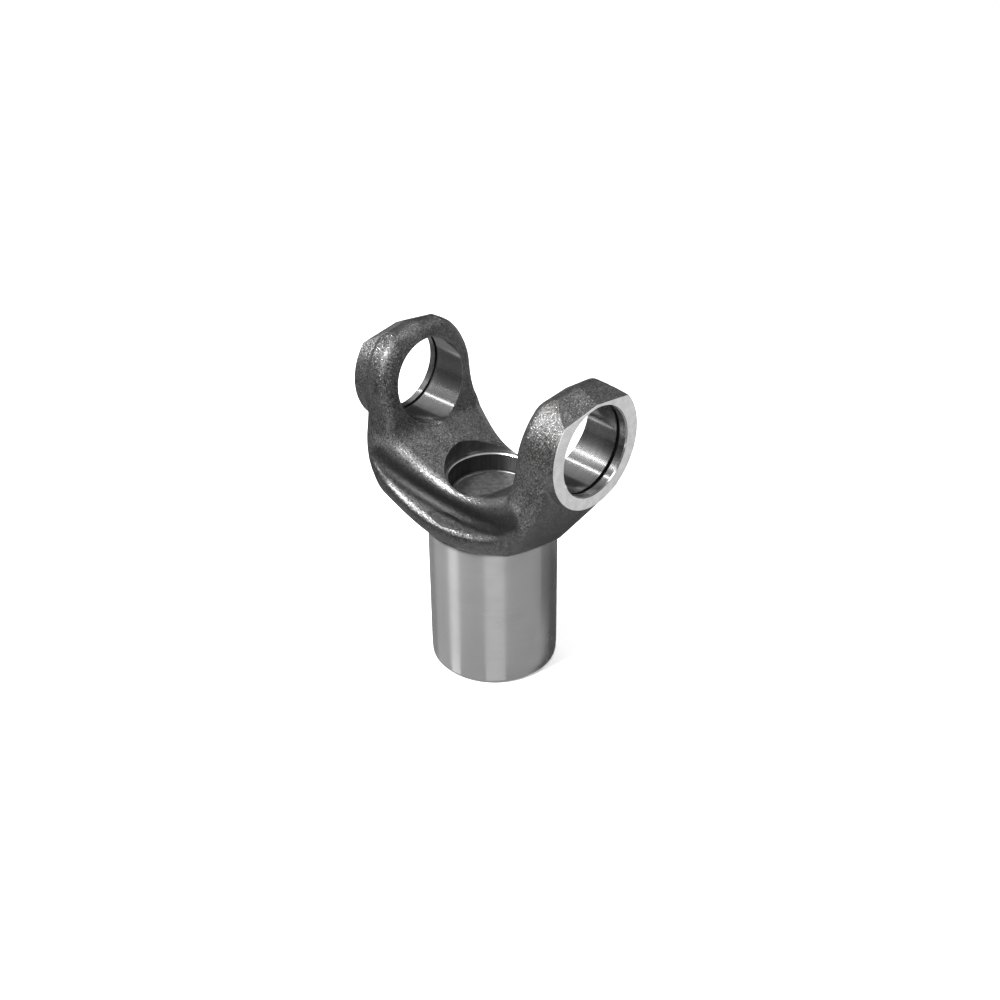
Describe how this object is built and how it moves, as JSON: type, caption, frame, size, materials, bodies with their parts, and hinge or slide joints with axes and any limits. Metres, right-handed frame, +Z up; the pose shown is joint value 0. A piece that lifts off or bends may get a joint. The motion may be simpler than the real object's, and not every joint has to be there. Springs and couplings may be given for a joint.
{
  "type": "slip yoke",
  "caption": "Forged steel slip yoke: two eared arms with ground cross bores on a hub, above a turned sleeve with an internal spline closed by a pressed cup plug.",
  "frame": {"origin": "centre of the universal joint: on the axis of the two cross bores, half way between the ears", "axes": "+X along the cross bores, +Z up the barrel axis towards the joint, +Y the way the forging left its dies, across the ears"},
  "size_m": [0.0904, 0.0512, 0.1183],
  "materials": {
    "forged_steel": "dark forge scale, with ground barrel and bores and milled ear faces",
    "plug_steel": "smooth pressed sheet steel"
  },
  "bodies": {
    "root": {"yoke": "forged_steel", "end_plug": "plug_steel"}
  },
  "joints": []
}
